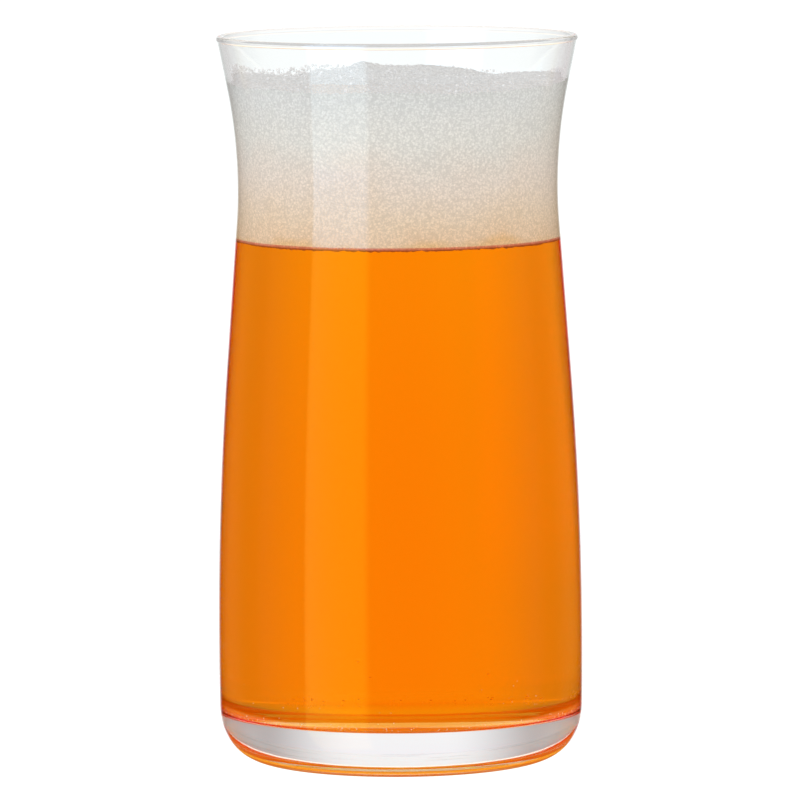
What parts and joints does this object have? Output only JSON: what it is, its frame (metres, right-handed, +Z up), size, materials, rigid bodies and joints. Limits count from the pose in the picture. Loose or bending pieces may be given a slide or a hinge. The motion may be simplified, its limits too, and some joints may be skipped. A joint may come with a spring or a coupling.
{
  "type": "collins glass",
  "caption": "Tall waisted drinking glass with a flared rim and thick base, filled with amber beer under a head of foam.",
  "frame": {"origin": "centre of the circle on which the glass stands, on the table", "axes": "+Z up along the glass's axis; the picture looks along +Y"},
  "size_m": [0.0702, 0.0702, 0.14],
  "materials": {
    "clear_glass": "clear, fire-polished",
    "beer": "clear amber liquid",
    "foam": "fine wet bubbles"
  },
  "bodies": {
    "root": {"glass": "clear_glass", "beer": "beer", "foam": "foam"}
  },
  "joints": []
}
